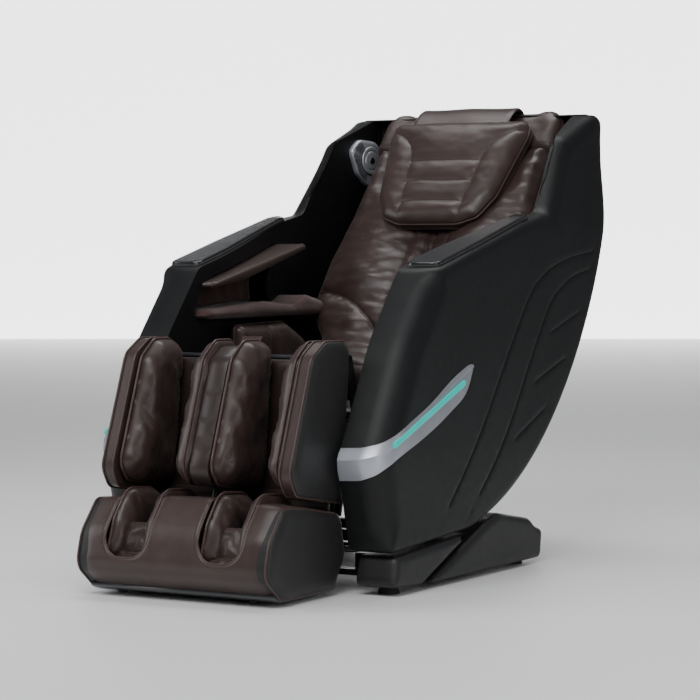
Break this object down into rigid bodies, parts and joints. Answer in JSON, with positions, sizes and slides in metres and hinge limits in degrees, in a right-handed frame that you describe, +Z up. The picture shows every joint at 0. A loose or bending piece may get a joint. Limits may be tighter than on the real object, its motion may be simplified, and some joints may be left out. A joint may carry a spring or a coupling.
{
  "type": "massage chair",
  "caption": "Reclining full-body massage chair with high side panels, leather cushions, calf and foot wells, light bars and a low base.",
  "frame": {"origin": "on the floor at the middle of the bounding box", "axes": "+X to the right seen from the front of the chair, the sitter faces -Y, +Z up"},
  "size_m": [0.8, 1.5391, 1.1552],
  "materials": {
    "black_textured": "fine-grained moulded plastic",
    "black_gloss": "satin black arm top",
    "black_plastic": "plain moulded plastic",
    "steel_black": "black powder coat",
    "steel_bright": "ground steel",
    "rubber_black": "matt rubber",
    "silver_paint": "satin silver paint",
    "leather_brown": "dark brown fine-grained leather",
    "mesh_fabric": "red-brown woven mesh",
    "led_cyan": "diffused light bar"
  },
  "bodies": {
    "base": {"base_frame": "steel_black", "base_skirt_left": "black_textured", "base_skirt_right": "black_textured", "rear_base_cover": "black_textured", "floor_feet": "rubber_black", "power_inlet": "black_plastic"},
    "wheel_left": {"transport_wheel_left": "rubber_black"},
    "wheel_right": {"transport_wheel_right": "rubber_black"},
    "switch": {"power_switch": "black_plastic"},
    "carriage": {"carriage_frame": "steel_black"},
    "front_rollers": {"front_roller_set": "steel_bright"},
    "rear_rollers": {"rear_roller_set": "steel_bright"},
    "recline_motor": {"recline_actuator": "black_plastic"},
    "recline_ram": {"recline_rod": "steel_bright"},
    "shell": {"side_panel_left": "black_textured", "side_panel_right": "black_textured", "inner_panel_left": "black_textured", "inner_panel_right": "black_textured", "arm_trim_left": "black_gloss", "arm_trim_right": "black_gloss", "silver_strip_left": "silver_paint", "silver_strip_right": "silver_paint", "led_bar_left": "led_cyan", "led_bar_right": "led_cyan", "back_shell": "black_textured", "seat_frame": "steel_black", "back_frame": "steel_black", "seat_cushion": "leather_brown", "back_cushion": "leather_brown", "hip_airbag_left": "leather_brown", "hip_airbag_right": "leather_brown", "shoulder_airbag_left": "leather_brown", "shoulder_airbag_right": "leather_brown", "arm_pad_upper_left": "leather_brown", "arm_pad_upper_right": "leather_brown", "arm_pad_lower_left": "mesh_fabric", "arm_pad_lower_right": "mesh_fabric", "speaker_left": "silver_paint", "speaker_right": "silver_paint", "top_cowl": "leather_brown", "control_box": "black_plastic", "air_pump": "black_plastic", "legrest_motor": "black_plastic"},
    "robot": {"robot_chassis": "black_plastic"},
    "kneader_left": {"kneading_arm_left": "black_plastic"},
    "kneader_right": {"kneading_arm_right": "black_plastic"},
    "pillow": {"headrest_pillow": "leather_brown"},
    "legrest": {"calf_shell": "black_textured", "calf_side_left": "black_textured", "calf_side_right": "black_textured", "calf_airbag_outer_left": "leather_brown", "calf_airbag_inner_left": "leather_brown", "calf_airbag_inner_right": "leather_brown", "calf_airbag_outer_right": "leather_brown", "legrest_shaft": "steel_bright"},
    "footrest": {"foot_shell": "leather_brown", "foot_guide_rods": "steel_bright", "foot_pad_left": "leather_brown", "foot_pad_right": "leather_brown"},
    "foot_roller": {"foot_rollers": "rubber_black"}
  },
  "joints": [
    {"name": "recline", "type": "hinge", "parent": "carriage", "child": "shell", "pos_m": [0, 0.1, 0.3], "axis": [-1, 0, 0], "range_deg": [0, 30]},
    {"name": "carriage_slide", "type": "slide", "parent": "base", "child": "carriage", "axis": [0, -1, 0], "range_m": [0, 0.1501]},
    {"name": "front_roller_spin", "type": "hinge", "parent": "carriage", "child": "front_rollers", "pos_m": [0, -0.12, 0.064], "axis": [1, 0, 0], "range_deg": [0, 541]},
    {"name": "rear_roller_spin", "type": "hinge", "parent": "carriage", "child": "rear_rollers", "pos_m": [0, 0.2, 0.064], "axis": [1, 0, 0], "range_deg": [0, 541]},
    {"name": "recline_motor_tilt", "type": "hinge", "parent": "carriage", "child": "recline_motor", "pos_m": [0, -0.06, 0.12], "axis": [-1, 0, 0], "range_deg": [0, 5]},
    {"name": "recline_ram_extend", "type": "slide", "parent": "recline_motor", "child": "recline_ram", "axis": [0, 0.2524, 0.9676], "range_m": [0, 0.054]},
    {"name": "legrest_lift", "type": "hinge", "parent": "shell", "child": "legrest", "pos_m": [0, -0.385, 0.54], "axis": [-1, 0, 0], "range_deg": [0, 80]},
    {"name": "footrest_extend", "type": "slide", "parent": "legrest", "child": "footrest", "axis": [0, -0.3502, -0.9367], "range_m": [0, 0.1501]},
    {"name": "foot_roller_spin", "type": "hinge", "parent": "footrest", "child": "foot_roller", "pos_m": [0, -0.596, 0.084], "axis": [1, 0, 0], "continuous": true},
    {"name": "pillow_flip", "type": "hinge", "parent": "shell", "child": "pillow", "pos_m": [0, 0.71654, 1.14287], "axis": [-1, 0, 0], "range_deg": [0, 150]},
    {"name": "robot_climb", "type": "slide", "parent": "shell", "child": "robot", "axis": [0, 0.6146, 0.7889], "range_m": [0, 0.56]},
    {"name": "kneader_right_rock", "type": "hinge", "parent": "robot", "child": "kneader_right", "pos_m": [0, 0.291, 0.49573], "axis": [1, 0, 0], "range_deg": [-12, 12]},
    {"name": "kneader_left_rock", "type": "hinge", "parent": "robot", "child": "kneader_left", "pos_m": [0, 0.291, 0.49573], "axis": [1, 0, 0], "range_deg": [-12, 12]},
    {"name": "wheel_left_spin", "type": "hinge", "parent": "base", "child": "wheel_left", "pos_m": [-0.17, 0.318, 0.019], "axis": [1, 0, 0], "continuous": true},
    {"name": "wheel_right_spin", "type": "hinge", "parent": "base", "child": "wheel_right", "pos_m": [0.17, 0.318, 0.019], "axis": [1, 0, 0], "continuous": true},
    {"name": "power_switch_rock", "type": "hinge", "parent": "base", "child": "switch", "pos_m": [0.019, 0.34, 0.058], "axis": [1, 0, 0], "range_deg": [0, 10]}
  ],
  "couplings": [
    {"joint": "carriage_slide", "follows": "recline", "m_per_rad": 0.28648},
    {"joint": "front_roller_spin", "follows": "recline", "ratio": 18.017},
    {"joint": "rear_roller_spin", "follows": "recline", "ratio": 18.017},
    {"joint": "recline_motor_tilt", "follows": "recline", "ratio": 0.164},
    {"joint": "recline_ram_extend", "follows": "recline", "m_per_rad": 0.1028},
    {"joint": "footrest_extend", "follows": "legrest_lift", "m_per_rad": 0.10743},
    {"joint": "kneader_left_rock", "follows": "kneader_right_rock", "ratio": -1}
  ]
}
